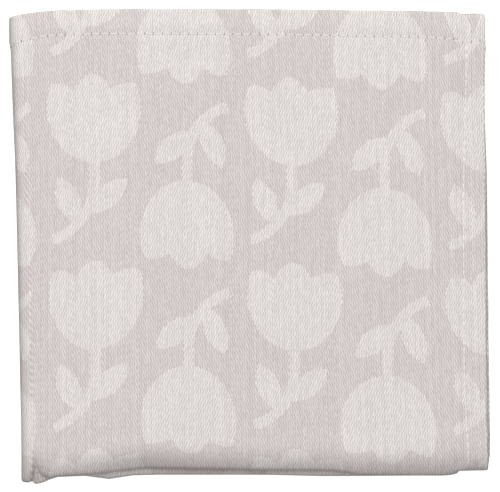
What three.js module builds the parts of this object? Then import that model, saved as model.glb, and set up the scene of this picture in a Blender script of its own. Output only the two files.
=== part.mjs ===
// A square cotton tea towel, folded in four one way and in four across that, lying flat.
// The first folds run along X and the second folds along Y, each time back and forth.
// Millimetres, +Z up. The towel's own top hem lies at the back, +Y, and its side hem at +X.
// The origin is under the middle of the folded towel, on the surface that it rests on.

import * as THREE from 'three';
import { mergeVertices } from 'three/addons/utils/BufferGeometryUtils.js';

// The cloth: one ply with its loft, and its turned hems
const PLY = 1.05;
const HEM_THICKNESS = 1.5;
const BACK_HEM = 8.1;
const SIDE_HEM = 7;
const HEM_SLOPE = 0.8;

// The first folds lay PLIES plies on each other as a strip, and the second lay the strip in LAYERS
const PLIES = 4;
const LAYERS = 4;
const PLY_GAP = 0.12;
const LAYER_GAP = 0.2;
const STRIP = PLIES * PLY + (PLIES - 1) * PLY_GAP;
const HEIGHT = LAYERS * STRIP + (LAYERS - 1) * LAYER_GAP;

// The even outline that the folds are laid out on, before the tables below move each edge
const LEFT = -80;
const RIGHT = 81;
const FRONT = -77;
const BACK = 81;

// The folds that lie between the hems stop short of them, so that the thick hems lie free
const PLY_FOLD_BACK = BACK - 9.5;
const LAYER_FOLD_RIGHT = RIGHT - 10.5;

// A ply's half turn has twice PLY_FOLD_FACES faces, and a layer's has LAYER_FOLD_FACES
const PLY_FOLD_FACES = 2;
const LAYER_FOLD_FACES = 6;

// Where the sides lie, by distance from front to back.
// upperFold and lowerFold are the two left folds, innerFold the right one between them.
// hem and secondHem are the free ends of the top two plies, baseHem those of the bottom layer.
const SIDES = [
  { y: -77, upperFold: -78.8, lowerFold: -77.6, innerFold: 71.8, hem: 81.5, secondHem: 81.6, baseHem: 80.6 },
  { y: -69, upperFold: -78.7, lowerFold: -77.4, innerFold: 71.0, hem: 81.4, secondHem: 82.2, baseHem: 80.7 },
  { y: -39, upperFold: -79.2, lowerFold: -78.4, innerFold: 70.1, hem: 80.9, secondHem: 81.7, baseHem: 80.5 },
  { y: 2, upperFold: -80.1, lowerFold: -79.1, innerFold: 69.6, hem: 80.7, secondHem: 81.4, baseHem: 80.1 },
  { y: 30, upperFold: -80.8, lowerFold: -79.7, innerFold: 69.9, hem: 80.6, secondHem: 81.0, baseHem: 79.9 },
  { y: 46, upperFold: -81.5, lowerFold: -80.5, innerFold: 70.1, hem: 80.2, secondHem: 80.2, baseHem: 79.7 },
  { y: 62, upperFold: -82.1, lowerFold: -81.2, innerFold: 70.4, hem: 80.4, secondHem: 80.1, baseHem: 79.6 },
  { y: 70, upperFold: -82.4, lowerFold: -81.6, innerFold: 70.6, hem: 80.5, secondHem: 80.1, baseHem: 79.5 },
  { y: 73, upperFold: -82.9, lowerFold: -81.8, innerFold: 70.6, hem: 80.5, secondHem: 80.1, baseHem: 79.5 },
  { y: 81, upperFold: -83.0, lowerFold: -82.1, innerFold: 70.7, hem: 80.4, secondHem: 80.0, baseHem: 79.4 },
];

// How far the front folds reach, by distance across. topOuter and topInner are the two folds of the
// top layer, and each other column holds both folds of its layer. Beside the left fold the top one
// rides up in a small pocket, and to the right of it the second layer shows as a lip.
// The two lower layers bend only at the rows marked main.
const FRONT_FOLDS = [
  { x: -77.2, main: true, topOuter: -81.0, topInner: -81.2, second: -80.6, third: -78.9, base: -79.2 },
  { x: -76.2, topOuter: -80.1, topInner: -80.6, second: -80.3, third: -78.8, base: -79.1 },
  { x: -75.1, topOuter: -77.4, topInner: -81.4, second: -80.7, third: -78.8, base: -79.1 },
  { x: -72.2, topOuter: -78.7, topInner: -80.8, second: -80.1, third: -78.6, base: -78.9 },
  { x: -70.5, main: true, topOuter: -79.2, topInner: -80.0, second: -79.4, third: -78.5, base: -78.8 },
  { x: -66, topOuter: -78.6, topInner: -78.8, second: -79.0, third: -78.2, base: -78.5 },
  { x: -57, topOuter: -78.1, topInner: -77.9, second: -78.7, third: -77.7, base: -78.1 },
  { x: -49.5, main: true, topOuter: -77.2, topInner: -76.7, second: -79.8, third: -77.4, base: -77.9 },
  { x: -43.5, topOuter: -76.5, topInner: -76.1, second: -78.7, third: -77.3, base: -77.6 },
  { x: -37, topOuter: -75.9, topInner: -75.6, second: -78.3, third: -77.2, base: -77.5 },
  { x: 0, main: true, topOuter: -76.5, topInner: -76.0, second: -78.3, third: -76.9, base: -77.4 },
  { x: 27, topOuter: -76.7, topInner: -76.3, second: -78.8, third: -77.2, base: -77.6 },
  { x: 38, main: true, topOuter: -78.3, topInner: -77.2, second: -78.7, third: -77.4, base: -77.3 },
  { x: 67, main: true, topOuter: -78.5, topInner: -76.9, second: -78.5, third: -77.8, base: -76.7 },
  { x: 71.5, topOuter: -76.9, topInner: -76.4, second: -78.0, third: -77.6, base: -76.2 },
  { x: 81, topOuter: -76.7, topInner: -76.2, second: -77.6, third: -77.2, base: -75.9 },
];

// Where the back hems of each layer lie, by distance across
const BACK_HEMS = [
  { x: -82, top: 78.4, second: 78.0, third: 77.8, base: 78.4 },
  { x: -76, top: 79.7, second: 79.2, third: 78.7, base: 79.2 },
  { x: -66, top: 80.9, second: 80.3, third: 79.6, base: 80.2 },
  { x: -45, top: 81.5, second: 80.6, third: 79.9, base: 80.6 },
  { x: 0, top: 81.5, second: 80.4, third: 80.0, base: 80.5 },
  { x: 30, top: 81.2, second: 80.2, third: 79.8, base: 80.1 },
  { x: 62, top: 80.8, second: 79.9, third: 79.4, base: 79.5 },
  { x: 71, top: 80.5, second: 79.8, third: 79.1, base: 79.1 },
  { x: 73, top: 80.0, second: 79.6, third: 79.0, base: 79.0 },
  { x: 81, top: 80.0, second: 79.4, third: 78.7, base: 78.8 },
];

// Height as a share of the even pile: a little more in the middle, less along the pressed folds and
// where the hems hang free past the inner fold, with slow waves between. The front bends down most.
const CROWN = 1.035;
const FRONT_PRESSED = 0.815;
const FRONT_WIDTH = 10;
const FRONT_ROUND = 2.5;
const LEFT_PRESSED = 0.955;
const HEM_PRESSED = 1.01;
const PRESSED_WIDTH = 6;
const OVERHANG_SAG = 0.07;
const UNEVEN = 0.006;
const UNEVEN_WAVES_ACROSS = 1.4;
const UNEVEN_WAVES_ALONG = 1.1;

// Places along a ply where its faces may bend, clear of its folds and its hem
const CLEAR_OF_FOLDS = 3.5;
const ALONG = SIDES.map((row) => row.y).filter(
  (y) => y > FRONT + CLEAR_OF_FOLDS && y < PLY_FOLD_BACK - CLEAR_OF_FOLDS,
);

const { clamp, lerp, smoothstep } = THREE.MathUtils;

// One column of a table at a place, straight between its rows
function read(table, along, place, column) {
  const at = clamp(place, table[0][along], table.at(-1)[along]);
  const next = Math.max(1, table.findIndex((row) => row[along] >= at));
  const [low, high] = [table[next - 1], table[next]];
  return lerp(low[column], high[column], (at - low[along]) / (high[along] - low[along]));
}

// A value for each layer, passing evenly from one to the next around the fold between them
function byLayer(layer, values) {
  const low = Math.min(Math.floor(layer), LAYERS - 2);
  return lerp(values[low], values[low + 1], layer - low);
}

// The strip's section, along Y and down from the towel's outer face: plies joined by half-round folds
function stripSection() {
  const section = new THREE.Shape();
  const pitch = PLY + PLY_GAP;
  const outer = PLY + PLY_GAP / 2;
  const inner = PLY_GAP / 2;
  const front = FRONT + outer;
  const back = PLY_FOLD_BACK - outer;
  const hemLine = BACK - BACK_HEM;
  const foldDepth = [0, 1, 2].map((fold) => outer + fold * pitch);
  const quarter = Math.PI / 2;
  const runBack = (depth) => ALONG.forEach((y) => section.lineTo(y, depth));
  const runFront = (depth) => ALONG.toReversed().forEach((y) => section.lineTo(y, depth));

  section.moveTo(BACK, 0);
  section.lineTo(hemLine, 0);
  runFront(0);
  section.absarc(front, foldDepth[0], outer, -quarter, quarter, true);
  runBack(pitch + PLY);
  section.absarc(back, foldDepth[1], inner, -quarter, quarter, false);
  runFront(2 * pitch);
  section.absarc(front, foldDepth[2], outer, -quarter, quarter, true);
  runBack(STRIP);
  section.lineTo(hemLine, STRIP);
  section.lineTo(BACK, STRIP);
  section.lineTo(BACK, STRIP - HEM_THICKNESS);
  section.lineTo(hemLine + HEM_SLOPE, STRIP - HEM_THICKNESS);
  section.lineTo(hemLine, STRIP - PLY);
  runFront(STRIP - PLY);
  section.absarc(front, foldDepth[2], inner, quarter, -quarter, false);
  runBack(2 * pitch + PLY);
  section.absarc(back, foldDepth[1], outer, quarter, -quarter, true);
  runFront(pitch);
  section.absarc(front, foldDepth[0], inner, quarter, -quarter, false);
  runBack(PLY);
  section.lineTo(hemLine, PLY);
  section.lineTo(hemLine + HEM_SLOPE, HEM_THICKNESS);
  section.lineTo(BACK, HEM_THICKNESS);
  return section;
}

// One stop on the strip's way through the pile. x and z place the towel's outer face, towards is the
// direction from there through the strip, and ply is the thickness of each ply at the stop.
function stop(layer, x, z, towards, ply = PLY) {
  return { layer, x, z, towards, ply };
}

// A flat run of the strip, bending at its layer's rows, with the side hem at a free end
function layerStops(layer, z, up) {
  const around = STRIP + LAYER_GAP / 2;
  const free = layer === 0 || layer === LAYERS - 1;
  const start = LEFT + around;
  const end = free ? RIGHT : LAYER_FOLD_RIGHT - around;
  const limit = free ? RIGHT - SIDE_HEM : end;
  const towards = { x: 0, z: up ? 1 : -1 };
  const rows = FRONT_FOLDS.filter((row) => row.main || layer < LAYERS / 2).map((row) => row.x);
  const places = rows.filter((x) => x > start && x < limit - 1);
  const run = [start, ...places, limit].map((x) => stop(layer, x, z, towards));
  if (free) {
    run.push(stop(layer, limit + HEM_SLOPE, z, towards, HEM_THICKNESS));
    run.push(stop(layer, end, z, towards, HEM_THICKNESS));
  }
  return up ? run : run.reverse();
}

// The stops between the ends of a half turn about an axis. The strip's outer face lies at radius, on
// the side that side gives, and the strip goes on from it outwards or, with outwards -1, inwards.
function foldStops(layer, axisX, axisZ, radius, side, outwards) {
  const stops = [];
  for (let face = 1; face < LAYER_FOLD_FACES; face += 1) {
    const turned = face / LAYER_FOLD_FACES;
    const out = { x: side * Math.sin(Math.PI * turned), z: Math.cos(Math.PI * turned) };
    const towards = { x: outwards * out.x, z: outwards * out.z };
    stops.push(stop(layer + turned, axisX + radius * out.x, axisZ + radius * out.z, towards));
  }
  return stops;
}

// The strip's whole way, from its free end on top to its free end at the bottom
function pileStops() {
  const around = STRIP + LAYER_GAP / 2;
  const leftAxis = LEFT + around;
  const rightAxis = LAYER_FOLD_RIGHT - around;
  const thirdTop = HEIGHT - 2 * STRIP - 2 * LAYER_GAP;
  return [
    ...layerStops(0, HEIGHT, false),
    ...foldStops(0, leftAxis, HEIGHT - around, around, -1, -1),
    ...layerStops(1, thirdTop + LAYER_GAP, true),
    ...foldStops(1, rightAxis, thirdTop + LAYER_GAP / 2, LAYER_GAP / 2, 1, 1),
    ...layerStops(2, thirdTop, false),
    ...foldStops(2, leftAxis, thirdTop - around, around, -1, -1),
    ...layerStops(3, 0, true),
  ];
}

// Depth in the strip once each ply is as thick as a stop has it, with the gaps as they were
function depthAt(depth, ply) {
  const pitch = PLY + PLY_GAP;
  const above = Math.min(Math.floor(depth / pitch), PLIES - 1);
  const within = depth - above * pitch;
  const cloth = Math.min(within, PLY) * (ply / PLY) + Math.max(within - PLY, 0);
  return above * (ply + PLY_GAP) + cloth;
}

// How far a place in the even outline is moved across to where its fold or hem really lies
function shiftAcross(x, y, layer, depth) {
  const side = (column) => read(SIDES, 'y', y, column);
  const fold = byLayer(layer, ['upperFold', 'upperFold', 'lowerFold', 'lowerFold'].map(side));
  const topEnd = side(depth > PLY + PLY_GAP / 2 ? 'secondHem' : 'hem');
  const end = byLayer(layer, [topEnd, side('innerFold'), side('innerFold'), side('baseHem')]);
  const evenEnd = byLayer(layer, [RIGHT, LAYER_FOLD_RIGHT, LAYER_FOLD_RIGHT, RIGHT]);
  return lerp(fold - LEFT, end - evenEnd, (x - LEFT) / (evenEnd - LEFT));
}

// The same from front to back
function shiftAlong(x, y, layer, depth) {
  const frontFold = (column) => read(FRONT_FOLDS, 'x', x, column);
  const backHem = (column) => read(BACK_HEMS, 'x', x, column);
  const top = depth > STRIP / 2 ? 'topInner' : 'topOuter';
  const front = byLayer(layer, [top, 'second', 'third', 'base'].map(frontFold));
  const back = byLayer(layer, ['top', 'second', 'third', 'base'].map(backHem));
  return lerp(front - FRONT, back - BACK, (y - FRONT) / (BACK - FRONT));
}

// Height of a place as a share of what it has in an even pile
function loft(x, y) {
  const fromFront = clamp((y - FRONT) / FRONT_WIDTH, 0, 1);
  const fromLeft = smoothstep(x, LEFT, LEFT + PRESSED_WIDTH);
  const fromBack = smoothstep(BACK - y, 0, PRESSED_WIDTH);
  const frontDrop = (CROWN - FRONT_PRESSED) * (1 - fromFront) ** FRONT_ROUND;
  const crown = lerp(HEM_PRESSED, CROWN, fromBack) - frontDrop;
  const sag = OVERHANG_SAG * smoothstep(x, LAYER_FOLD_RIGHT - PRESSED_WIDTH, RIGHT);
  const across = Math.sin((Math.PI * UNEVEN_WAVES_ACROSS * x) / RIGHT);
  const along = Math.cos((Math.PI * UNEVEN_WAVES_ALONG * y) / BACK);
  return crown - (CROWN - LEFT_PRESSED) * (1 - fromLeft) - sag + UNEVEN * across * along;
}

// The section drawn out straight, one step for each stop, and then each step put in its place
function towelGeometry() {
  const stops = pileStops();
  const straight = new THREE.ExtrudeGeometry(stripSection(), {
    depth: stops.length - 1,
    steps: stops.length - 1,
    curveSegments: PLY_FOLD_FACES,
    bevelEnabled: false,
  });
  const points = straight.attributes.position;
  for (let i = 0; i < points.count; i += 1) {
    const [y, depth] = [points.getX(i), points.getY(i)];
    const at = stops[Math.round(points.getZ(i))];
    const through = depthAt(depth, at.ply);
    const x = at.x + at.towards.x * through;
    const z = at.z + at.towards.z * through;
    const across = shiftAcross(x, y, at.layer, depth);
    const along = shiftAlong(x, y, at.layer, depth);
    points.setXYZ(i, x + across, y + along, z * loft(x, y));
  }
  straight.deleteAttribute('normal');
  straight.deleteAttribute('uv');
  const towel = mergeVertices(straight, 1e-4);
  towel.computeVertexNormals();
  return towel;
}

function paleCotton() {
  return new THREE.MeshStandardMaterial({ color: 0xdcd5d2, roughness: 0.86, metalness: 0 });
}

function foldedTowel() {
  const cloth = new THREE.Mesh(towelGeometry(), paleCotton());
  cloth.name = 'towel_cloth';
  cloth.geometry.computeBoundingBox();
  const middle = cloth.geometry.boundingBox.getCenter(new THREE.Vector3());
  cloth.position.set(-middle.x, -middle.y, 0);
  return cloth;
}

const towel = new THREE.Group();
towel.add(foldedTowel());

export default towel;
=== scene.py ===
"""A pale damask cotton tea towel, folded to a square pile and seen from straight above.

The cloth is one thin sheet with turned and stitched hems. It is laid back and forth in four plies
one way and in four layers the other way, on the folds of the solid that it replaces.
"""

import math
from bisect import bisect_right
from types import SimpleNamespace

import bmesh
import bpy
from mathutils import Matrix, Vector


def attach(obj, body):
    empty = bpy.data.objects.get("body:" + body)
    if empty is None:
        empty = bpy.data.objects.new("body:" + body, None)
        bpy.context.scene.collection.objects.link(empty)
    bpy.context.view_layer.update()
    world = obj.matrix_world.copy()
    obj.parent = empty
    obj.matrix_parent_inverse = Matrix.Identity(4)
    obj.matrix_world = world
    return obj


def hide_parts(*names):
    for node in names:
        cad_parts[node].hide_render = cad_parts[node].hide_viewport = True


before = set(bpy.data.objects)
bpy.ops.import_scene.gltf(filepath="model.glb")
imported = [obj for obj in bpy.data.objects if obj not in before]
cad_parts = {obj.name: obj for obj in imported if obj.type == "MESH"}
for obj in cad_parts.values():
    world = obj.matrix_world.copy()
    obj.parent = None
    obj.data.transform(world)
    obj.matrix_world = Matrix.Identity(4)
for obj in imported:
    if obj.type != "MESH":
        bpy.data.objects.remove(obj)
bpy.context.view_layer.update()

# Lengths are in millimetres, and become metres as they are placed
MM = 0.001

# The picture's width in pixels, how much of the surface one pixel covers, and where its middle is
IMAGE_WIDTH = 500
MM_PER_PIXEL = 0.3425
PICTURE_MIDDLE = Vector((0.13, 0.24))

# The pile, as the solid has it: the strip of four plies, and the four layers that it is laid in
PLY = 1.05
PLIES = 4
LAYERS = 4
PLY_GAP = 0.12
LAYER_GAP = 0.2
PITCH = PLY + PLY_GAP
STRIP = PLIES * PLY + (PLIES - 1) * PLY_GAP
HEIGHT = LAYERS * STRIP + (LAYERS - 1) * LAYER_GAP
THIRD_TOP = HEIGHT - 2 * STRIP - 2 * LAYER_GAP
LEFT = -80.0
RIGHT = 81.0
FRONT = -77.0
BACK = 81.0
PLY_FOLD_BACK = BACK - 9.5
LAYER_FOLD_RIGHT = RIGHT - 10.5
CENTRING = Vector((0.3, -0.1))

# The sheet itself, thinner than the room each ply takes in the pile
SHEET = 0.7
REST_GAP = 0.02
PLY_FOLD_ROOM = PLY + PLY_GAP / 2

# Hems: how wide they are turned, the bend at their edge, and how they open the plies that they lie in
BACK_HEM = 8.6
SIDE_HEM = 7.6
HEM_BEND = 0.36
SIDE_HEM_OPENS = 1.06
CORNER_BEND = 3 * HEM_BEND
HEM_BLEND = 1.0
CORNER_EASES_FROM = 12.0
CORNER_EASES_TO = 2.0

# Depths in the strip between which one edge's place passes into the next one's below it
FIRST_PLY_UNTIL = PLY * 0.6
SECOND_PLY_FROM = PITCH + PLY * 0.4
OUTER_PLIES_UNTIL = STRIP * 0.42
INNER_PLIES_FROM = STRIP * 0.58

# Where the sides lie, by distance from front to back, as on the solid. upper and lower are the left
# folds, and inner is the right one between them. hem and second_hem are the free ends of the top
# two plies, and base_hem is that of the bottom layer.
SIDES = [
    dict(y=-77, upper=-78.8, lower=-77.6, inner=71.8, hem=81.5, second_hem=81.6, base_hem=80.6),
    dict(y=-69, upper=-78.7, lower=-77.4, inner=71.0, hem=81.4, second_hem=82.2, base_hem=80.7),
    dict(y=-39, upper=-79.2, lower=-78.4, inner=70.1, hem=80.9, second_hem=81.7, base_hem=80.5),
    dict(y=2, upper=-80.1, lower=-79.1, inner=69.6, hem=80.7, second_hem=81.4, base_hem=80.1),
    dict(y=30, upper=-80.8, lower=-79.7, inner=69.9, hem=80.6, second_hem=81.0, base_hem=79.9),
    dict(y=46, upper=-81.5, lower=-80.5, inner=70.1, hem=80.2, second_hem=80.2, base_hem=79.7),
    dict(y=62, upper=-82.1, lower=-81.2, inner=70.4, hem=80.4, second_hem=80.1, base_hem=79.6),
    dict(y=70, upper=-82.4, lower=-81.6, inner=70.6, hem=80.5, second_hem=80.1, base_hem=79.5),
    dict(y=73, upper=-82.9, lower=-81.8, inner=70.6, hem=80.5, second_hem=80.1, base_hem=79.5),
    dict(y=81, upper=-83.0, lower=-82.1, inner=70.7, hem=80.4, second_hem=80.0, base_hem=79.4),
]

# How far the front folds reach, by distance across. Beside the left fold the top one rides up in a
# small pocket, and to the right of it the second layer shows as a lip.
FRONT_FOLDS = [
    dict(x=-77.2, top_outer=-81.0, top_inner=-81.2, second=-80.6, third=-78.9, base=-79.2),
    dict(x=-76.2, top_outer=-80.1, top_inner=-80.6, second=-80.3, third=-78.8, base=-79.1),
    dict(x=-75.1, top_outer=-77.4, top_inner=-81.4, second=-80.7, third=-78.8, base=-79.1),
    dict(x=-72.2, top_outer=-78.7, top_inner=-80.8, second=-80.1, third=-78.6, base=-78.9),
    dict(x=-70.5, top_outer=-79.2, top_inner=-80.0, second=-79.4, third=-78.5, base=-78.8),
    dict(x=-66, top_outer=-78.6, top_inner=-78.8, second=-79.0, third=-78.2, base=-78.5),
    dict(x=-57, top_outer=-78.1, top_inner=-77.9, second=-78.7, third=-77.7, base=-78.1),
    dict(x=-49.5, top_outer=-77.2, top_inner=-76.7, second=-79.8, third=-77.4, base=-77.9),
    dict(x=-43.5, top_outer=-76.5, top_inner=-76.1, second=-78.7, third=-77.3, base=-77.6),
    dict(x=-37, top_outer=-75.9, top_inner=-75.6, second=-78.3, third=-77.2, base=-77.5),
    dict(x=0, top_outer=-76.5, top_inner=-76.0, second=-78.3, third=-76.9, base=-77.4),
    dict(x=27, top_outer=-76.7, top_inner=-76.3, second=-78.8, third=-77.2, base=-77.6),
    dict(x=38, top_outer=-78.3, top_inner=-77.2, second=-78.7, third=-77.4, base=-77.3),
    dict(x=67, top_outer=-78.5, top_inner=-76.9, second=-78.5, third=-77.8, base=-76.7),
    dict(x=71.5, top_outer=-76.9, top_inner=-76.4, second=-78.0, third=-77.6, base=-76.2),
    dict(x=81, top_outer=-76.7, top_inner=-76.2, second=-77.6, third=-77.2, base=-75.9),
]

# Where the back hems of each layer lie, by distance across
BACK_HEMS = [
    dict(x=-82, top=78.4, second=78.0, third=77.8, base=78.4),
    dict(x=-76, top=79.7, second=79.2, third=78.7, base=79.2),
    dict(x=-66, top=80.9, second=80.3, third=79.6, base=80.2),
    dict(x=-45, top=81.5, second=80.6, third=79.9, base=80.6),
    dict(x=0, top=81.5, second=80.4, third=80.0, base=80.5),
    dict(x=30, top=81.2, second=80.2, third=79.8, base=80.1),
    dict(x=62, top=80.8, second=79.9, third=79.4, base=79.5),
    dict(x=71, top=80.5, second=79.8, third=79.1, base=79.1),
    dict(x=73, top=80.0, second=79.6, third=79.0, base=79.0),
    dict(x=81, top=80.0, second=79.4, third=78.7, base=78.8),
]

# Height as a share of the even pile: highest in the middle, pressed down along the front, the left
# and the back hem, and sagging at the right where the side hem hangs past the inner fold
CROWN = 1.035
FRONT_PRESSED = 0.815
FRONT_WIDTH = 10.0
FRONT_ROUND = 2.5
LEFT_PRESSED = 0.945
LEFT_WIDTH = 6.0
LEFT_ROUND = 2.6
HEM_PRESSED = 1.01
PRESSED_WIDTH = 6.0
OVERHANG_SAG = 0.07
UNEVEN = 0.006
UNEVEN_WAVES_ACROSS = 1.4
UNEVEN_WAVES_ALONG = 1.1

# The stitched rows, by distance along each: how far in from the hem's edge the needle ran
BACK_ROW = [
    dict(x=-83, inset=10.2),
    dict(x=-78, inset=9.3),
    dict(x=-73, inset=8.8),
    dict(x=-66, inset=8.4),
    dict(x=0, inset=8.6),
    dict(x=60, inset=8.9),
    dict(x=68, inset=9.2),
    dict(x=71, inset=9.9),
    dict(x=75, inset=9.7),
    dict(x=81, inset=8.3),
]
SIDE_ROW = [
    dict(y=-77, inset=6.6),
    dict(y=-40, inset=7.7),
    dict(y=20, inset=7.6),
    dict(y=50, inset=6.5),
    dict(y=81, inset=6.3),
]

# The stitches, half sunk in the cloth, and dark beads of painted shade for the needle's holes between
# those of the back row. Each tone is a share of the way from the thread's own colour to the painted
# shade in a hole.
STITCH_PITCH = 2.98
STITCH_LENGTH = 2.9
STITCH_WIDTH = 0.55
BACK_ROW_PROUD = 0.11
SIDE_ROW_PROUD = 0.17
BACK_ROW_TONE = 0.14
HOLE_LENGTH = 1.1
HOLE_WIDTH = 0.42
HOLE_PROUD = 0.03
HOLE_TONE = 1.0
BEAD_PARTS = 8
BEAD_DIP = 0.6
ROW_PAST_FOLD = 12.7
BACK_ROW_ENDS = 1.5
SIDE_ROW_ENDS = 10.5
BELOW_PROUD = REST_GAP * 0.7

# What sewing does to the cloth: a furrow under each row, and waves along the hems' edges
ROW_FURROW = 0.16
ROW_FURROW_WIDTH = 1.1
PUCKER = 0.09
PUCKER_PITCH = 8.3
SLOW_PITCH = PUCKER_PITCH * 2.7
SLOW_START = 1.3
PUCKER_SHARES = (0.6, 0.8, 0.5)
PUCKER_REACH = 6.0
BACK_PUCKER_START = 40.0

# Soft marks of handling on the top: their middle, the angle at which they run, their length, width
# and depth. A mark with a depth below zero stands up.
MARKS = [
    dict(x=-74.6, y=-77, runs=100, length=6, width=2.2, depth=0.8),
    dict(x=-42, y=-77, runs=0, length=28, width=9, depth=1.2),
    dict(x=56, y=-77, runs=0, length=34, width=12, depth=0.7),
    dict(x=24, y=-72.5, runs=0, length=26, width=6, depth=-0.2),
    dict(x=77, y=-74, runs=0, length=14, width=7, depth=-0.5),
    dict(x=-66, y=-66, runs=62, length=22, width=5, depth=0.35),
    dict(x=-30, y=-58, runs=8, length=40, width=8, depth=-0.16),
    dict(x=34, y=-62, runs=-5, length=34, width=6, depth=0.2),
    dict(x=58, y=66, runs=-38, length=26, width=5, depth=0.22),
    dict(x=-12, y=64, runs=4, length=46, width=7, depth=0.18),
    dict(x=12, y=10, runs=72, length=70, width=12, depth=-0.14),
    dict(x=-58, y=30, runs=84, length=52, width=9, depth=0.14),
    dict(x=66, y=-20, runs=87, length=60, width=5, depth=0.18),
]
# They fade with depth in the pile, by this power of the height
MARKS_FADE = 3


def lerp(start, end, share):
    """A value part of the way from start to end."""
    return start + (end - start) * share


def smoothstep(place, low, high):
    """0 below low, 1 above high, and an even rise between them."""
    share = min(max((place - low) / (high - low), 0.0), 1.0)
    return share * share * (3 - 2 * share)


class Curve:
    """A smooth line through one column of a table, which never swings past the table's values."""

    def __init__(self, table, along, column):
        self.places = [row[along] for row in table]
        self.values = [row[column] for row in table]
        spans = [high - low for low, high in zip(self.places, self.places[1:])]
        rises = [high - low for low, high in zip(self.values, self.values[1:])]
        steps = [rise / span for rise, span in zip(rises, spans)]
        inner = [self.gentle(before, after) for before, after in zip(steps, steps[1:])]
        self.slopes = [steps[0], *inner, steps[-1]]

    @staticmethod
    def gentle(before, after):
        return 0.0 if before * after <= 0 else 2 * before * after / (before + after)

    def __call__(self, place):
        place = min(max(place, self.places[0]), self.places[-1])
        high = min(bisect_right(self.places, place), len(self.places) - 1)
        low = high - 1
        span = self.places[high] - self.places[low]
        share = (place - self.places[low]) / span
        rest = 1 - share
        return (
            self.values[low] * rest * rest * (1 + 2 * share)
            + self.values[high] * share * share * (1 + 2 * rest)
            + self.slopes[low] * span * share * rest * rest
            - self.slopes[high] * span * share * share * rest
        )


def curves(table, along):
    """A smooth line for each column of a table."""
    columns = [name for name in table[0] if name != along]
    return SimpleNamespace(**{name: Curve(table, along, name) for name in columns})


sides = curves(SIDES, "y")
front_folds = curves(FRONT_FOLDS, "x")
back_hems = curves(BACK_HEMS, "x")
back_row = curves(BACK_ROW, "x")
side_row = curves(SIDE_ROW, "y")


def by_layer(layer, values):
    """A value for each layer, passing evenly from one to the next around the fold between them."""
    low = min(int(layer), LAYERS - 2)
    return lerp(values[low], values[low + 1], layer - low)


def shift_across(x, y, layer, depth):
    """How far a place in the even outline is moved across to where its fold or hem really lies."""
    upper, lower, inner = sides.upper(y), sides.lower(y), sides.inner(y)
    second = smoothstep(depth, FIRST_PLY_UNTIL, SECOND_PLY_FROM)
    top_end = lerp(sides.hem(y), sides.second_hem(y), second)
    fold = by_layer(layer, [upper, upper, lower, lower])
    end = by_layer(layer, [top_end, inner, inner, sides.base_hem(y)])
    even_end = by_layer(layer, [RIGHT, LAYER_FOLD_RIGHT, LAYER_FOLD_RIGHT, RIGHT])
    return lerp(fold - LEFT, end - even_end, (x - LEFT) / (even_end - LEFT))


def shift_along(x, y, layer, depth):
    """The same from front to back."""
    inner = smoothstep(depth, OUTER_PLIES_UNTIL, INNER_PLIES_FROM)
    top = lerp(front_folds.top_outer(x), front_folds.top_inner(x), inner)
    front = by_layer(layer, [top, front_folds.second(x), front_folds.third(x), front_folds.base(x)])
    hems = [back_hems.top(x), back_hems.second(x), back_hems.third(x), back_hems.base(x)]
    back = by_layer(layer, hems)
    return lerp(front - FRONT, back - BACK, (y - FRONT) / (BACK - FRONT))


def loft(x, y):
    """Height of a place as a share of what it has in an even pile."""
    from_front = min(max((y - FRONT) / FRONT_WIDTH, 0.0), 1.0)
    from_left = min(max((x - LEFT) / LEFT_WIDTH, 0.0), 1.0)
    front_drop = (CROWN - FRONT_PRESSED) * (1 - from_front) ** FRONT_ROUND
    left_drop = (CROWN - LEFT_PRESSED) * (1 - math.sqrt(1 - (1 - from_left) ** LEFT_ROUND))
    crown = lerp(HEM_PRESSED, CROWN, smoothstep(BACK - y, 0, PRESSED_WIDTH))
    sag = OVERHANG_SAG * smoothstep(x, LAYER_FOLD_RIGHT - PRESSED_WIDTH, RIGHT)
    across = math.sin(math.pi * UNEVEN_WAVES_ACROSS * x / RIGHT)
    along = math.cos(math.pi * UNEVEN_WAVES_ALONG * y / BACK)
    return crown - front_drop - left_drop - sag + UNEVEN * across * along


def mark_depth(mark, x, y):
    """How deep one soft mark is at a place."""
    turned = math.radians(mark["runs"])
    dx = x - mark["x"]
    dy = y - mark["y"]
    along = (dx * math.cos(turned) + dy * math.sin(turned)) / (mark["length"] / 2)
    across = (dy * math.cos(turned) - dx * math.sin(turned)) / (mark["width"] / 2)
    return mark["depth"] * math.exp(-along * along - across * across)


def marks_depth(x, y):
    """Soft marks, and the furrows that the stitched rows draw into the cloth."""
    from_back_row = (BACK - y) - back_row.inset(x)
    from_side_row = (RIGHT - x) - side_row.inset(y)
    furrow = math.exp(-((from_back_row / ROW_FURROW_WIDTH) ** 2))
    side_furrow = math.exp(-((from_side_row / ROW_FURROW_WIDTH) ** 2))
    rows = ROW_FURROW * max(furrow, side_furrow)
    return rows + sum(mark_depth(mark, x, y) for mark in MARKS)


def pucker(place):
    """The slight waviness that sewing gives a hem's edge."""
    wave = math.sin(2 * math.pi * place / PUCKER_PITCH)
    slow = math.sin(2 * math.pi * place / SLOW_PITCH + SLOW_START)
    quick_share, mixed_share, slow_share = PUCKER_SHARES
    return PUCKER * (quick_share * wave + mixed_share * wave * slow + slow_share * slow)


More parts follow.
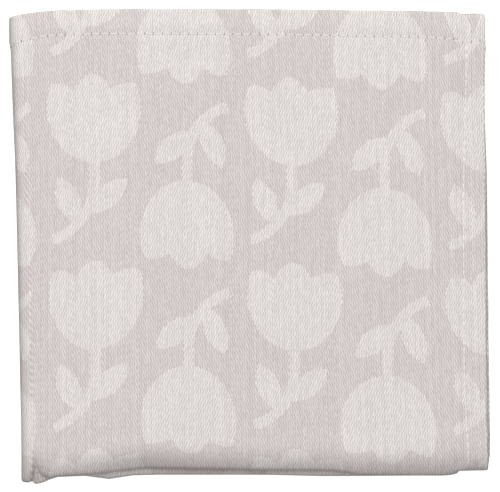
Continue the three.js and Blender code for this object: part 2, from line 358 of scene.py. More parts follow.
# Depth of each ply's middle in the strip, in the open and where a fold holds its neighbours apart
OUTER_PLY = SHEET / 2 + REST_GAP
OPEN_DEPTHS = [lerp(OUTER_PLY, STRIP - OUTER_PLY, ply / (PLIES - 1)) for ply in range(PLIES)]
FOLD_REACH = 2 * PLY_FOLD_ROOM - OUTER_PLY
FRONT_DEPTHS = [OUTER_PLY, FOLD_REACH, STRIP - FOLD_REACH, STRIP - OUTER_PLY]
BACK_DEPTHS = [OUTER_PLY, PITCH + OUTER_PLY, PITCH + FOLD_REACH, STRIP - OUTER_PLY]
FOLD_OPENS = 7.0
FRONT_BEND = FRONT + PLY_FOLD_ROOM
BACK_BEND = PLY_FOLD_BACK - PLY_FOLD_ROOM
PLY_BEND = PLY_FOLD_ROOM - SHEET / 2


def ply_depth(ply, y):
    """Depth in the strip of the middle of a ply."""
    near_front = 1 - smoothstep(y, FRONT_BEND, FRONT_BEND + FOLD_OPENS)
    near_back = smoothstep(y, BACK_BEND - FOLD_OPENS, BACK_BEND)
    depth = lerp(OPEN_DEPTHS[ply], FRONT_DEPTHS[ply], near_front)
    return lerp(depth, BACK_DEPTHS[ply], near_back)


def along_ply(ply, y, hem_turn=0.0):
    """A place along a ply. hem_turn is the angle through which a hem has turned there."""
    wrong_side = 0.0 if ply % 2 == 0 else math.pi
    passed = (ply + 1) // 2
    return SimpleNamespace(
        y=y, depth=ply_depth(ply, y), wrong_side=wrong_side, ply=ply, passed=passed,
        hem_turn=hem_turn, bend=0.0,
    )


def along_fold(ply, turned):
    """A place in the fold after a ply. turned goes from 0 to 1 through the fold."""
    front = ply % 2 == 0
    middle = FRONT_BEND if front else BACK_BEND
    angle = math.pi * turned
    start = ply_depth(ply, middle)
    end = ply_depth(ply + 1, middle)
    depth = (start + end) / 2 - (end - start) / 2 * math.cos(angle)
    reach = -PLY_BEND if front else PLY_BEND
    share = (1 - math.cos(angle)) / 2
    return SimpleNamespace(
        y=middle + reach * math.sin(angle), depth=depth,
        wrong_side=angle if front else math.pi - angle,
        ply=ply + turned, passed=(ply + 1) // 2 + (share if front else 0.0),
        hem_turn=0.0, bend=math.sin(angle) if front else 0.0,
    )


def across_layer(layer, x, hem_turn=0.0):
    """A place across a layer. towards points from the towel's outer face into the strip."""
    outer_face = [HEIGHT, THIRD_TOP + LAYER_GAP, THIRD_TOP, 0.0][layer]
    up = layer % 2 == 1
    return SimpleNamespace(
        x=x, z=outer_face, towards=(0.0, 1.0 if up else -1.0), layer=float(layer),
        free=1.0 if layer in (0, LAYERS - 1) else 0.0, hem_turn=hem_turn,
    )


AROUND = STRIP + LAYER_GAP / 2
LEFT_AXIS = LEFT + AROUND
RIGHT_AXIS = LAYER_FOLD_RIGHT - AROUND


def across_fold(layer, turned):
    """A place in the half turn after a layer."""
    axis_x = [LEFT_AXIS, RIGHT_AXIS, LEFT_AXIS][layer]
    axis_z = [HEIGHT - AROUND, THIRD_TOP + LAYER_GAP / 2, THIRD_TOP - AROUND][layer]
    radius, side, outwards = [(AROUND, -1, -1), (LAYER_GAP / 2, 1, 1), (AROUND, -1, -1)][layer]
    out = (side * math.sin(math.pi * turned), math.cos(math.pi * turned))
    return SimpleNamespace(
        x=axis_x + radius * out[0], z=axis_z + radius * out[1],
        towards=(outwards * out[0], outwards * out[1]), layer=layer + turned,
        free=0.0, hem_turn=0.0,
    )


def turn(bend, height, angle):
    """Turns a hem about its edge. Gives the reach past the bend's middle and the new height."""
    return (bend - height) * math.sin(angle), bend - (bend - height) * math.cos(angle)


def cloth_point(across, along, height):
    """Where a point of the cloth lies. height is from the sheet's middle towards its wrong side."""
    side_reach, height = turn(HEM_BEND, height, across.hem_turn)
    side_raw = RIGHT - SIDE_HEM
    in_side_hem = across.free * smoothstep(across.x, side_raw - HEM_BLEND, side_raw + HEM_BLEND)
    back_bend = lerp(HEM_BEND, CORNER_BEND, in_side_hem)
    back_reach, height = turn(back_bend, height, along.hem_turn)
    near_edge = smoothstep(along.y, BACK - CORNER_EASES_FROM, BACK - CORNER_EASES_TO)
    opened = SIDE_HEM_OPENS * in_side_hem
    near_fold = 1 - smoothstep(along.y, FRONT_BEND, FRONT_BEND + FOLD_OPENS)
    y = along.y + back_reach - (back_bend - HEM_BEND) * near_edge
    y += opened / 2 * near_fold * (1 - along.bend)
    y += height * math.sin(along.wrong_side)
    depth = along.depth + opened * along.passed + height * math.cos(along.wrong_side)
    x = across.x + side_reach + across.towards[0] * depth
    z = across.z + across.towards[1] * depth
    placed_x = x + shift_across(x, y, across.layer, depth)
    placed_y = y + shift_along(x, y, across.layer, depth)
    placed_x += pucker(y) * smoothstep(x, RIGHT - PUCKER_REACH, RIGHT)
    placed_y += pucker(x + BACK_PUCKER_START) * smoothstep(y, BACK - PUCKER_REACH, BACK)
    on_top = max(z / HEIGHT, 0.0) ** MARKS_FADE
    placed_z = z * loft(x, y) - marks_depth(x, y) * on_top
    return Vector((placed_x + CENTRING.x, placed_y + CENTRING.y, placed_z)) * MM


def steps(start, end, spacing):
    """Places from start up to, but without, end, about a spacing apart."""
    count = max(2, round(abs(end - start) / spacing))
    return [lerp(start, end, step / count) for step in range(count)]


HEM_EDGE = SHEET / 2 + HEM_BEND
BACK_EDGE = BACK - HEM_EDGE
SIDE_EDGE = RIGHT - HEM_EDGE
RAW_EDGE_STEPS = 3
HEM_TURN_STEPS = 6
PLY_FOLD_STEPS = 8
LAYER_FOLD_STEPS = 14

# Where each stretch of a ply or a layer starts, and how far apart its stops are. They lie closest
# beside the folds and the hems.
TOP_PLY = [
    dict(start=BACK_EDGE, apart=0.8),
    dict(start=BACK - 12, apart=3.1),
    dict(start=FRONT_BEND + 14, apart=1.1),
    dict(start=FRONT_BEND + 3, apart=0.6),
]
INNER_PLY = [
    dict(start=FRONT_BEND, apart=1.5),
    dict(start=FRONT_BEND + 9, apart=9.0),
    dict(start=BACK_BEND - 9, apart=1.5),
]
BOTTOM_PLY = [
    dict(start=FRONT_BEND, apart=1.5),
    dict(start=FRONT_BEND + 9, apart=8.0),
    dict(start=BACK - 10, apart=1.4),
]
TOP_LAYER = [
    dict(start=SIDE_EDGE, apart=0.8),
    dict(start=RIGHT - 13, apart=3.1),
    dict(start=LEFT_AXIS + 10, apart=0.9),
    dict(start=LEFT_AXIS + 3, apart=0.4),
]
INNER_LAYER = [
    dict(start=LEFT_AXIS, apart=1.8),
    dict(start=LEFT_AXIS + 9, apart=8.0),
    dict(start=RIGHT_AXIS - 9, apart=1.8),
]
BOTTOM_LAYER = [
    dict(start=LEFT_AXIS, apart=1.8),
    dict(start=LEFT_AXIS + 9, apart=7.0),
    dict(start=RIGHT - 11, apart=1.2),
]


def run(stretches, end):
    """The places of the stops along a ply or a layer, up to its end and with it."""
    starts = [stretch["start"] for stretch in stretches]
    places = []
    for stretch, until in zip(stretches, [*starts[1:], end]):
        places += steps(stretch["start"], until, stretch["apart"])
    return places + [end]


def hem_turns(places, bend_at, make):
    """The stops of a turned hem, from its raw edge round to the bend at its edge."""
    turned_under = [make(place, math.pi) for place in places]
    angles = [math.pi * (1 - step / HEM_TURN_STEPS) for step in range(1, HEM_TURN_STEPS)]
    return turned_under + [make(bend_at, angle) for angle in angles]


def back_and_forth(raw, edge, runs, fold_steps, flat, fold):
    """Every stop from one turned hem to the other: four runs, with a fold after each but the last."""
    turned_under = steps(raw, edge, (edge - raw) / RAW_EDGE_STEPS) + [edge]
    turned = [step / fold_steps for step in range(1, fold_steps)]
    last = len(runs) - 1
    stops = hem_turns(turned_under, edge, lambda place, angle: flat(0, place, angle))
    for number, places in enumerate(runs):
        stops += [flat(number, place) for place in places]
        if number < last:
            stops += [fold(number, share) for share in turned]
    return stops + hem_turns(turned_under, edge, lambda place, angle: flat(last, place, angle))[::-1]


def along_stops():
    """The stops along the plies."""
    inner = run(INNER_PLY, BACK_BEND)
    runs = [run(TOP_PLY, FRONT_BEND), inner, inner[::-1], run(BOTTOM_PLY, BACK_EDGE)]
    return back_and_forth(BACK - BACK_HEM, BACK_EDGE, runs, PLY_FOLD_STEPS, along_ply, along_fold)


def across_stops():
    """The stops across the layers."""
    inner = run(INNER_LAYER, RIGHT_AXIS)
    runs = [run(TOP_LAYER, LEFT_AXIS), inner, inner[::-1], run(BOTTOM_LAYER, SIDE_EDGE)]
    return back_and_forth(
        RIGHT - SIDE_HEM, SIDE_EDGE, runs, LAYER_FOLD_STEPS, across_layer, across_fold
    )


def flat_lengths(points, start):
    """How far each stop is along the unfolded cloth, counted down from the place at start."""
    walked = [0.0]
    for before, after in zip(points, points[1:]):
        walked.append(walked[-1] + (after - before).length)
    return [points[start].x + walked[start] - distance for distance in walked]


def first_flat(stops):
    """The first stop past the turned hem."""
    return next(number for number, stop in enumerate(stops) if not stop.hem_turn)


def flat_along(stops):
    """The stops' places on the unfolded cloth. On the top ply they are its even y."""
    points = []
    for stop in stops:
        reach, height = turn(HEM_BEND, 0.0, stop.hem_turn)
        points.append(Vector((stop.y + reach, stop.depth + height * math.cos(stop.wrong_side))))
    return flat_lengths(points, first_flat(stops))


def flat_across(stops, depth):
    """The same across, for cloth that lies at one depth in the strip."""
    points = []
    for stop in stops:
        reach, height = turn(HEM_BEND, 0.0, stop.hem_turn)
        x = stop.x + reach + stop.towards[0] * depth
        z = stop.z + stop.towards[1] * depth - height
        points.append(Vector((x, z)))
    return flat_lengths(points, first_flat(stops))


def object_from(mesh_builder, name, material):
    """A smooth-shaded object of one material, at the origin."""
    mesh = bpy.data.meshes.new(name)
    mesh_builder.to_mesh(mesh)
    mesh_builder.free()
    piece = bpy.data.objects.new(name, mesh)
    bpy.context.scene.collection.objects.link(piece)
    mesh.materials.append(material)
    mesh.polygons.foreach_set("use_smooth", [True] * len(mesh.polygons))
    return piece


def lay_face(builder, across, along, height):
    """One face of the sheet: a grid with a line for each stop, laid in its folds."""
    columns = len(across) - 1
    rows = len(along) - 1
    made = bmesh.ops.create_grid(builder, x_segments=columns, y_segments=rows, size=1.0)["verts"]
    places = {}
    for vertex in made:
        column = round((vertex.co.x + 1) / 2 * columns)
        row = round((vertex.co.y + 1) / 2 * rows)
        places[vertex] = (column, row)
        vertex.co = cloth_point(across[column], along[row], height)
    return places


def towel_sheet(material):
    """The whole cloth as one closed thin sheet, with its unfolded places as its UV map."""
    across = across_stops()
    along = along_stops()
    flat_x_outside = flat_across(across, 0.0)
    flat_x_inside = flat_across(across, STRIP)
    flat_y = flat_along(along)
    builder = bmesh.new()
    places = lay_face(builder, across, along, -SHEET / 2)
    places.update(lay_face(builder, across, along, SHEET / 2))
    rims = [edge for edge in builder.edges if edge.is_boundary]
    bmesh.ops.bridge_loops(builder, edges=rims)
    bmesh.ops.recalc_face_normals(builder, faces=builder.faces)
    cloth_map = builder.loops.layers.uv.new("Unfolded cloth")
    for face in builder.faces:
        for loop in face.loops:
            column, row = places[loop.vert]
            flat_x = lerp(flat_x_outside[column], flat_x_inside[column], along[row].depth / STRIP)
            loop[cloth_map].uv = (flat_x * MM, flat_y[row] * MM)
    return object_from(builder, "folded_towel", material)


def row_places(low, high):
    """The middles of a row's stitches, as many as fit between its ends."""
    count = int((high - low) / STITCH_PITCH)
    start = (low + high - count * STITCH_PITCH) / 2
    return [start + STITCH_PITCH * (number + 0.5) for number in range(count)]


def add_bead(builder, tone_map, line, outwards, width, proud, tone):
    """A short soft bead along a line of three points, half sunk, with both ends dipping in."""
    start, middle, end = line
    run_out = (end - start) / 2
    bulge = middle - (start + end) / 2
    aside = run_out.cross(outwards).normalized()
    made = bmesh.ops.create_uvsphere(builder, u_segments=BEAD_PARTS, v_segments=BEAD_PARTS, radius=1.0)
    bead = made["verts"]
    for vertex in bead:
        side, rise, share = vertex.co
        blunt = math.sqrt(1 + share * share)
        sideways = side * blunt * width / 2 * MM
        upwards = (rise * blunt - BEAD_DIP * share * share) * proud * MM
        on_line = middle + run_out * share - bulge * share * share
        vertex.co = on_line + aside * sideways + outwards * upwards
    for face in {face for vertex in bead for face in vertex.link_faces}:
        for loop in face.loops:
            loop[tone_map].uv = (tone, 0.0)


def across_row(layer, x):
    """A place across the top or the bottom layer, or past its left end in the fold beside it."""
    turned = (LEFT_AXIS - x) / (math.pi * AROUND)
    if turned <= 0:
        return across_layer(layer, x)
    return across_fold(0, turned) if layer == 0 else across_fold(2, 1 - turned)


def outwards_at(place):
    """The way out of the cloth, at a place across."""
    return Vector((-place.towards[0], 0, -place.towards[1]))


def three(length):
    """The start, the middle and the end of a bead, from its middle."""
    return (-length / 2, 0, length / 2)


def sew_back_row(builder, tone_map, layer, proud, with_holes):
    """The row along the back hem, which runs on round the left fold."""
    for x in row_places(LEFT_AXIS - ROW_PAST_FOLD, RIGHT - BACK_ROW_ENDS):
        y = BACK - back_row.inset(x)
        outwards = outwards_at(across_row(layer, x))
        places = [across_row(layer, x + off) for off in three(STITCH_LENGTH)]
        line = [cloth_point(place, along_ply(0, y), -SHEET / 2) for place in places]
        add_bead(builder, tone_map, line, outwards, STITCH_WIDTH, proud, BACK_ROW_TONE)
        if with_holes:
            # A dark bead of painted shade where the needle's hole is
            between = across_row(layer, x + STITCH_PITCH / 2)
            stops = [along_ply(0, y + off) for off in three(HOLE_LENGTH)]
            line = [cloth_point(between, stop, -SHEET / 2) for stop in stops]
            add_bead(builder, tone_map, line, outwards, HOLE_WIDTH, HOLE_PROUD, HOLE_TONE)


def sew_side_row(builder, tone_map, layer, proud):
    """The row along the side hem."""
    for y in row_places(FRONT_BEND, BACK - SIDE_ROW_ENDS):
        place = across_layer(layer, RIGHT - side_row.inset(y))
        stops = [along_ply(0, y + off) for off in three(STITCH_LENGTH)]
        line = [cloth_point(place, stop, -SHEET / 2) for stop in stops]
        add_bead(builder, tone_map, line, outwards_at(place), STITCH_WIDTH, proud, 0.0)


def hem_stitches(material):
    """The two stitched rows, on the top of the pile and where they come round below it."""
    builder = bmesh.new()
    tone_map = builder.loops.layers.uv.new("Tone")
    sew_back_row(builder, tone_map, 0, BACK_ROW_PROUD, with_holes=True)
    sew_side_row(builder, tone_map, 0, SIDE_ROW_PROUD)
    sew_back_row(builder, tone_map, LAYERS - 1, BELOW_PROUD, with_holes=False)
    sew_side_row(builder, tone_map, LAYERS - 1, BELOW_PROUD)
    bmesh.ops.recalc_face_normals(builder, faces=builder.faces)
    return object_from(builder, "hem_stitches", material)


def linear(red, green, blue):
    """A colour as a screen shows it, 0 to 255, as the light that it stands for."""
    def one(value):
        share = value / 255
        return share / 12.92 if share <= 0.04045 else ((share + 0.055) / 1.055) ** 2.4
    return (one(red), one(green), one(blue), 1.0)


class Nodes:
    """Adds nodes to one tree and joins them."""

    def __init__(self, tree):
        self.tree = tree
        tree.nodes.clear()

    def add(self, kind, inputs=(), **settings):
        node = self.tree.nodes.new(kind)
        for name, value in settings.items():
            setattr(node, name, value)
        for socket, value in dict(inputs).items():
            self.feed(node.inputs[socket], value)
        return node

    def feed(self, socket, value):
        if isinstance(value, bpy.types.NodeSocket):
            self.tree.links.new(value, socket)
        else:
            socket.default_value = value

    def math(self, operation, *values, clamp=False):
        node = self.add("ShaderNodeMath", enumerate(values), operation=operation, use_clamp=clamp)
        return node.outputs[0]

    def vector(self, operation, *values, out=0):
        node = self.add("ShaderNodeVectorMath", enumerate(values), operation=operation)
        return node.outputs[out]

    def split(self, vector):
        return self.add("ShaderNodeSeparateXYZ", {0: vector}).outputs[:2]

    def join(self, x, y):
        return self.add("ShaderNodeCombineXYZ", {0: x, 1: y, 2: 0.0}).outputs[0]

    def distance(self, place, point):
        return self.vector("DISTANCE", place, (*point, 0.0), out="Value")

    def fade(self, value, low, high, start=0.0, end=1.0):
        node = self.add(
            "ShaderNodeMapRange", {0: value, 1: low, 2: high, 3: start, 4: end},
            interpolation_type="SMOOTHSTEP",
        )
        return node.outputs[0]

    def noise(self, place, scale, detail, out="Fac"):
        inputs = {"Vector": place, "Scale": scale, "Detail": detail}
        return self.add("ShaderNodeTexNoise", inputs).outputs[out]

    def grey(self, value):
        return self.add("ShaderNodeCombineXYZ", {0: value, 1: value, 2: value}).outputs[0]

    def blend(self, share, first, second):
        inputs = {0: share, 6: first, 7: second}
        return self.add("ShaderNodeMix", inputs, data_type="RGBA").outputs[2]

    def group(self, group, inputs):
        node = self.add("ShaderNodeGroup", node_tree=group)
        for name, value in inputs.items():
            self.feed(node.inputs[name], value)
        return node.outputs


def new_group(name, inputs, outputs):
    """A shader node group with its sockets. Gives the group, its nodes, its input and its output."""
    group = bpy.data.node_groups.new(name, "ShaderNodeTree")
    for socket_name, kind, value in inputs:
        socket = group.interface.new_socket(socket_name, in_out="INPUT", socket_type=kind)
        if value is not None:
            socket.default_value = value
    for socket_name, kind in outputs:
        group.interface.new_socket(socket_name, in_out="OUTPUT", socket_type=kind)
    nodes = Nodes(group)
    given = nodes.add("NodeGroupInput").outputs
    result = nodes.add("NodeGroupOutput").inputs
    return group, nodes, given, result


# The woven tulip, in millimetres from the middle of its cup, with the tip of the cup upwards
CUP_HALF_WIDTH = 16.0
CUP_HALF_HEIGHT = 18.9
PETALS = [
    dict(x=-12.3, top=8.5, curve=0.085),
    dict(x=-0.3, top=11.5, curve=0.13),
    dict(x=13.2, top=8.4, curve=0.034),
]
STEM_X = -0.2
STEM_HALF_WIDTH = 1.8
STEM_BEND_Y = -25.0
STEM_BEND_RADIUS = 20.6
STEM_BEND_ANGLE = math.radians(72)
LEAF_LENGTH = 17.2
LEAF_WIDTH = 7.7
LEAVES = [
    dict(x=4.4, y=-30.2, runs=42),
    dict(x=-9.3, y=-31.3, runs=111),
]

# The repeat has an upright and an inverted tulip in each cell, given by the middles of their cups.
# Off the towel's own edges, the grain leans by GRAIN_ACROSS along the ends and by GRAIN_ALONG along
# the picks, and in front of SPREAD_FROM the pattern is drawn wider by GRAIN_SPREAD a millimetre.
REPEAT_ACROSS = 66.85
REPEAT_ALONG = 63.6
UPRIGHT_CUP = (-52.4, 46.4)
INVERTED_CUP = (-21.55, 2.6)
CUP_TO_MIDDLE = 18.0
MOTIF_EDGE = 0.22
GRAIN_ACROSS = -0.0019
GRAIN_ALONG = 0.02
GRAIN_SPREAD = 0.000255
SPREAD_FROM = (-7.0, 58.0)

# The weave: a satin over five picks, with its ends in pairs and slightly slipped, and the shares
# of an end's own tone and of each float's
END_SPACING = 0.394
PICK_SPACING = 0.462
SATIN_OVER = 5
SATIN_STEP = 2
FLOAT_RISE = 0.6
PAIR_GAP = 0.32
THREAD_SLIP = 0.1
WANDER = 0.22
WANDER_SCALE = 0.45
WANDER_DETAIL = 1.0
ROUND_DROP = 0.2
LEAN_CHANGES = (0.49, 0.51)
END_SHARE = 0.4
FLOAT_SHARE = 0.6


def leaf(nodes, place, spec):
    """How far inside a pointed leaf a place is: two equal discs that overlap."""
    half_length = LEAF_LENGTH / 2
    half_width = LEAF_WIDTH / 2
    radius = (half_length ** 2 + half_width ** 2) / (2 * half_width)
    away = radius - half_width
    turned = math.radians(spec["runs"])
    inside = []
    for side in (-1, 1):
        middle_x = spec["x"] - side * away * math.sin(turned)
        middle_y = spec["y"] + side * away * math.cos(turned)
        from_middle = nodes.distance(place, (middle_x, middle_y))
        inside.append(nodes.math("SUBTRACT", radius, from_middle))
    return nodes.math("MINIMUM", *inside)


def cup(nodes, place, x, y):
    """The cup: an ellipse whose top is cut to three petals."""
    axes = (CUP_HALF_WIDTH, CUP_HALF_HEIGHT, 1.0)
    share = nodes.vector("LENGTH", nodes.vector("DIVIDE", place, axes), out="Value")
    inside = nodes.math("MULTIPLY", nodes.math("SUBTRACT", 1.0, share), CUP_HALF_WIDTH)
    tops = []
    for petal in PETALS:
        off = nodes.math("SUBTRACT", x, petal["x"])
        drop = nodes.math("MULTIPLY", nodes.math("MULTIPLY", off, off), petal["curve"])
        tops.append(nodes.math("SUBTRACT", petal["top"], drop))
    highest = nodes.math("MAXIMUM", tops[0], nodes.math("MAXIMUM", tops[1], tops[2]))
    return nodes.math("MINIMUM", inside, nodes.math("SUBTRACT", highest, y))


def stem(nodes, place, x, y):
    """The stem: straight below the cup, then round an arc to the lower left."""
    aside = nodes.math("ABSOLUTE", nodes.math("SUBTRACT", x, STEM_X))
    straight = nodes.math("SUBTRACT", STEM_HALF_WIDTH, aside)
    straight = nodes.math("MINIMUM", straight, nodes.math("SUBTRACT", y, STEM_BEND_Y))
    straight = nodes.math("MINIMUM", straight, nodes.math("MULTIPLY", y, -1.0))
    middle = (STEM_X - STEM_BEND_RADIUS, STEM_BEND_Y)
    off = nodes.math("SUBTRACT", nodes.distance(place, middle), STEM_BEND_RADIUS)
    curved = nodes.math("SUBTRACT", STEM_HALF_WIDTH, nodes.math("ABSOLUTE", off))
    below = nodes.math("SUBTRACT", STEM_BEND_Y, y)
    end_way = (math.sin(STEM_BEND_ANGLE), math.cos(STEM_BEND_ANGLE), 0.0)
    from_middle = nodes.vector("SUBTRACT", place, (*middle, 0.0))
    before_end = nodes.vector("DOT_PRODUCT", from_middle, end_way, out="Value")
    curved = nodes.math("MINIMUM", curved, nodes.math("MINIMUM", below, before_end))
    return nodes.math("MAXIMUM", straight, curved)


def tulip_group():
    """How far inside one woven tulip a place is, in millimetres."""
    group, nodes, given, result = new_group(
        "Woven tulip", [("Place", "NodeSocketVector", None)], [("Inside", "NodeSocketFloat")]
    )
    place = given["Place"]
    x, y = nodes.split(place)
    parts = [cup(nodes, place, x, y), stem(nodes, place, x, y)]
    parts += [leaf(nodes, place, spec) for spec in LEAVES]
    inside = parts[0]
    for part in parts[1:]:
        inside = nodes.math("MAXIMUM", inside, part)
    nodes.feed(result["Inside"], inside)
    return group


def repeat_group(tulip):
    """The all-over pattern: 1 in a tulip and 0 on the ground, stepped from thread to thread."""
    group, nodes, given, result = new_group(
        "Tulip repeat", [("Place", "NodeSocketVector", None)], [("Motif", "NodeSocketFloat")]
    )
    thread = (END_SPACING, PICK_SPACING, 1.0)
    stepped = nodes.vector("SNAP", given["Place"], thread)
    cell = (REPEAT_ACROSS / 2, REPEAT_ALONG / 2, 1.0)
    low = tuple(-side for side in cell)
    # A tulip hangs below its cup, so the cell's middle lies below it too
    hang = Vector((0.0, -CUP_TO_MIDDLE, 0.0))
    found = []
    for cup_at, way in ((UPRIGHT_CUP, 1.0), (INVERTED_CUP, -1.0)):
        middle = Vector((*cup_at, 0.0)) + hang * way
        off = nodes.vector("SUBTRACT", stepped, tuple(middle))
        near = nodes.vector("WRAP", off, cell, low)
        turned = nodes.vector("MULTIPLY", near, (way, way, 0.0))
        from_cup = nodes.vector("ADD", turned, tuple(hang))
        found.append(nodes.group(tulip, {"Place": from_cup})["Inside"])
    inside = nodes.math("MAXIMUM", *found)
    nodes.feed(result["Motif"], nodes.fade(inside, -MOTIF_EDGE, MOTIF_EDGE))
    return group


def satin_group():
    """The satin's floats. They lean one way in the ground and the other way in the tulips."""
    group, nodes, given, result = new_group(
        "Satin weave",
        [("Place", "NodeSocketVector", None), ("Motif", "NodeSocketFloat", 0.0)],
        [("Height", "NodeSocketFloat"), ("Thread", "NodeSocketFloat")],
    )
    wander = nodes.noise(given["Place"], WANDER_SCALE, WANDER_DETAIL, "Color")
    wander = nodes.vector("SUBTRACT", wander, (0.5, 0.5, 0.5))
    wander = nodes.vector("MULTIPLY", wander, (WANDER, 2 * WANDER, 0.0))
    x, y = nodes.split(nodes.vector("ADD", given["Place"], wander))
    end = nodes.math("DIVIDE", x, END_SPACING)
    number = nodes.math("FLOOR", end)
    off_middle = nodes.math("SUBTRACT", nodes.math("FRACT", end), 0.5)
    round_thread = nodes.math("MULTIPLY", nodes.math("MULTIPLY", off_middle, off_middle), 4.0)
    lean = nodes.fade(given["Motif"], *LEAN_CHANGES, 1.0, -1.0)
    shift = nodes.math("MULTIPLY", nodes.math("MULTIPLY", number, SATIN_STEP / SATIN_OVER), lean)
    own = nodes.add("ShaderNodeTexWhiteNoise", {"W": number}, noise_dimensions="1D").outputs["Value"]
    slipped = nodes.math("ADD", shift, nodes.math("MULTIPLY", own, THREAD_SLIP))
    along = nodes.math("ADD", nodes.math("DIVIDE", y, PICK_SPACING * SATIN_OVER), slipped)
    sunk = nodes.math("COSINE", nodes.math("MULTIPLY", along, 2 * math.pi))
    sunk = nodes.math("MULTIPLY", sunk, FLOAT_RISE / 2)
    pair = nodes.math("COSINE", nodes.math("MULTIPLY", end, math.pi))
    apart = nodes.math("MULTIPLY", pair, PAIR_GAP / 2)
    rounded = nodes.math("MULTIPLY", round_thread, ROUND_DROP)
    height = nodes.math("SUBTRACT", 1.0 - (FLOAT_RISE + PAIR_GAP) / 2, rounded)
    height = nodes.math("SUBTRACT", nodes.math("SUBTRACT", height, sunk), apart)
    float_number = nodes.join(number, nodes.math("FLOOR", along))
    of_float = nodes.add(
        "ShaderNodeTexWhiteNoise", {"Vector": float_number}, noise_dimensions="2D"
    ).outputs["Value"]
    end_tone = nodes.math("MULTIPLY", own, END_SHARE)
    float_tone = nodes.math("MULTIPLY", of_float, FLOAT_SHARE)
    nodes.feed(result["Height"], height)
    nodes.feed(result["Thread"], nodes.math("ADD", end_tone, float_tone))
    return group


# The cotton's colours, the painted shade that the weave puts in the dips between its floats, and how
# much its slubs and a mottle change its tone
GROUND = linear(218, 209.5, 206.5)
# The tulips' paler colour is partly their own and partly painted sheen of their satin floats
MOTIF_WITH_PAINTED_SHEEN = linear(230, 223.8, 220.8)
WEAVE_SHADE = 0.52
WEAVE_BUMP = 0.12
SLUB_GRAIN = (2.2, 0.16, 1.0)
SLUB_TONE = 0.12
MOTTLE_SCALE = 0.045
MOTTLE_TONE = 0.05
NOISE_DETAIL = 2.0
THREAD_TONE = 0.2
# How much painted shade darkens the cloth where it is seen edge-on, and from how far edge-on it starts
EDGE_SHADE = 0.22
EDGE_SHADE_FROM = 0.3


def cotton_material(repeat, satin):
    """Pinkish grey damask: pale tulips, satin floats, and a little unevenness in its tone."""
    material = bpy.data.materials.new("damask_cotton")
    material.use_nodes = True
    nodes = Nodes(material.node_tree)
    unfolded = nodes.add("ShaderNodeUVMap", uv_map="Unfolded cloth").outputs["UV"]
    flat = nodes.vector("SCALE", unfolded)
    flat.node.inputs["Scale"].default_value = 1 / MM
    x, y = nodes.split(flat)
    off_middle = nodes.math("SUBTRACT", x, SPREAD_FROM[0])
    before_back = nodes.math("SUBTRACT", SPREAD_FROM[1], y)
    spread = nodes.math("MULTIPLY", nodes.math("MULTIPLY", off_middle, before_back), -GRAIN_SPREAD)
    grain_x = nodes.math("ADD", x, nodes.math("MULTIPLY", y, GRAIN_ACROSS))
    grain_x = nodes.math("ADD", grain_x, spread)
    grain_y = nodes.math("ADD", y, nodes.math("MULTIPLY", x, GRAIN_ALONG))
    place = nodes.join(grain_x, grain_y)
    motif = nodes.group(repeat, {"Place": place})["Motif"]
    weave = nodes.group(satin, {"Place": place, "Motif": motif})
    colour = nodes.blend(motif, GROUND, MOTIF_WITH_PAINTED_SHEEN)

    slub = nodes.noise(nodes.vector("MULTIPLY", place, SLUB_GRAIN), 1.0, NOISE_DETAIL)
    mottle = nodes.noise(place, MOTTLE_SCALE, NOISE_DETAIL)
    uneven = []
    for value, share in ((slub, SLUB_TONE), (mottle, MOTTLE_TONE), (weave["Thread"], THREAD_TONE)):
        uneven.append(nodes.math("MULTIPLY", nodes.math("SUBTRACT", value, 0.5), share))
    tone = nodes.math("ADD", nodes.math("ADD", uneven[0], uneven[1]), uneven[2])
    # Painted shade from the weave: darker colour in the dips between floats and between paired ends
    shade = nodes.math("MULTIPLY", nodes.math("SUBTRACT", weave["Height"], 0.5), WEAVE_SHADE)
    shade = nodes.math("ADD", shade, 1.0)
    shade = nodes.math("MULTIPLY", shade, nodes.math("ADD", tone, 1.0))
    # Painted shade: the colour darkens where the cloth is seen edge-on, as less light comes back from
    # between its threads
    turned_away = nodes.add("ShaderNodeLayerWeight", {"Blend": 0.5}).outputs["Facing"]
    edge_painted_shade = nodes.fade(turned_away, EDGE_SHADE_FROM, 1.0, 1.0, 1.0 - EDGE_SHADE)
    shade = nodes.math("MULTIPLY", shade, edge_painted_shade)
    coloured = nodes.vector("MULTIPLY", colour, nodes.grey(shade))
    bump = nodes.add("ShaderNodeBump", {
        "Strength": 1.0, "Distance": WEAVE_BUMP * MM, "Height": weave["Height"],
    })
    shader = nodes.add("ShaderNodeBsdfPrincipled", {
        "Base Color": coloured, "Roughness": 0.82, "Specular IOR Level": 0.25,
        "Normal": bump.outputs["Normal"],
    })
    nodes.add("ShaderNodeOutputMaterial", {"Surface": shader.outputs["BSDF"]})
    return material


# The sewing thread's colours, and the painted shade in a needle's hole
THREAD_DARK = linear(234, 227, 224)
THREAD_PALE = linear(246, 240, 236)
HOLE_PAINTED_SHADE = linear(155, 147, 143)
STRAND_SCALE = 2600.0
STRAND_DETAIL = 1.0
STRAND_BUMP = 0.05


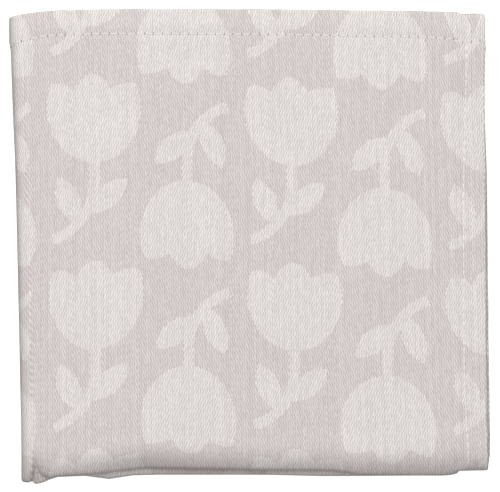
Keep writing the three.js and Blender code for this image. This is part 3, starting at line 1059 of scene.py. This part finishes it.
def thread_material():
    """Pale sewing cotton, twisted from fine strands, and the painted shade of the needle's holes."""
    material = bpy.data.materials.new("sewing_cotton")
    material.use_nodes = True
    nodes = Nodes(material.node_tree)
    place = nodes.add("ShaderNodeTexCoord").outputs["Object"]
    strands = nodes.noise(place, STRAND_SCALE, STRAND_DETAIL)
    tone = nodes.split(nodes.add("ShaderNodeUVMap", uv_map="Tone").outputs["UV"])[0]
    colour = nodes.blend(tone, nodes.blend(strands, THREAD_DARK, THREAD_PALE), HOLE_PAINTED_SHADE)
    bump = nodes.add("ShaderNodeBump", {
        "Strength": 0.5, "Distance": STRAND_BUMP * MM, "Height": strands,
    })
    shader = nodes.add("ShaderNodeBsdfPrincipled", {
        "Base Color": colour, "Roughness": 0.7, "Sheen Weight": 0.1, "Normal": bump.outputs["Normal"],
    })
    nodes.add("ShaderNodeOutputMaterial", {"Surface": shader.outputs["BSDF"]})
    return material


# The view: straight down, from far enough that the pile's height hardly spreads
LENS = 500.0
SENSOR = 36.0
SEES_FROM = 0.1
SEES_TO = 20.0


def look_straight_down():
    """The camera, above the middle of the picture."""
    camera_data = bpy.data.cameras.new("camera")
    camera_data.lens = LENS
    camera_data.sensor_width = SENSOR
    distance = IMAGE_WIDTH * MM_PER_PIXEL * LENS / SENSOR
    camera_data.clip_start = SEES_FROM
    camera_data.clip_end = SEES_TO
    camera = bpy.data.objects.new("camera", camera_data)
    camera.location = Vector((PICTURE_MIDDLE.x, PICTURE_MIDDLE.y, HEIGHT * CROWN + distance)) * MM
    bpy.context.scene.collection.objects.link(camera)
    bpy.context.scene.camera = camera


# The studio, in metres
FLOOR_SIZE = 3.0
FLOOR_GREY = 0.3
FLOOR_LIFT = 1.0
KEY_PLACE = (-0.35, 1.45, 2.45)
KEY_SIZE = 1.8
KEY_POWER = 61.6
FILL = 0.42


def pale_floor():
    """A pale floor, lifted to white where the camera sees it, as a lit table is."""
    material = bpy.data.materials.new("pale_floor")
    material.use_nodes = True
    nodes = Nodes(material.node_tree)
    seen = nodes.add("ShaderNodeLightPath").outputs["Is Camera Ray"]
    shader = nodes.add("ShaderNodeBsdfPrincipled", {
        "Base Color": (FLOOR_GREY, FLOOR_GREY, FLOOR_GREY, 1.0), "Roughness": 0.9,
        "Specular IOR Level": 0.0, "Emission Color": (1.0, 1.0, 1.0, 1.0),
        "Emission Strength": nodes.math("MULTIPLY", seen, FLOOR_LIFT),
    })
    nodes.add("ShaderNodeOutputMaterial", {"Surface": shader.outputs["BSDF"]})
    builder = bmesh.new()
    bmesh.ops.create_grid(builder, x_segments=1, y_segments=1, size=FLOOR_SIZE / 2)
    floor = object_from(builder, "floor", material)


def area_light(name, place, size, power):
    """A square light that faces the middle of the towel."""
    light_data = bpy.data.lights.new(name, "AREA")
    light_data.shape = "SQUARE"
    light_data.size = size
    light_data.energy = power
    light = bpy.data.objects.new(name, light_data)
    light.location = place
    light.rotation_mode = "QUATERNION"
    light.rotation_quaternion = Vector(place).to_track_quat("Z", "Y")
    bpy.context.scene.collection.objects.link(light)


def soft_light():
    """A large soft light high behind the towel, and an even fill."""
    area_light("key_light", KEY_PLACE, KEY_SIZE, KEY_POWER)
    world = bpy.data.worlds.new("studio")
    world.use_nodes = True
    nodes = Nodes(world.node_tree)
    sky = nodes.add("ShaderNodeBackground", {"Color": (1.0, 1.0, 1.0, 1.0), "Strength": FILL})
    nodes.add("ShaderNodeOutputWorld", {"Surface": sky.outputs["Background"]})
    bpy.context.scene.world = world
    bpy.context.scene.view_settings.view_transform = "Standard"


look_straight_down()
pale_floor()
soft_light()

cotton = cotton_material(repeat_group(tulip_group()), satin_group())
towel = towel_sheet(cotton)
stitches = hem_stitches(thread_material())

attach(towel, "root")
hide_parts("towel_cloth")
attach(stitches, "root")
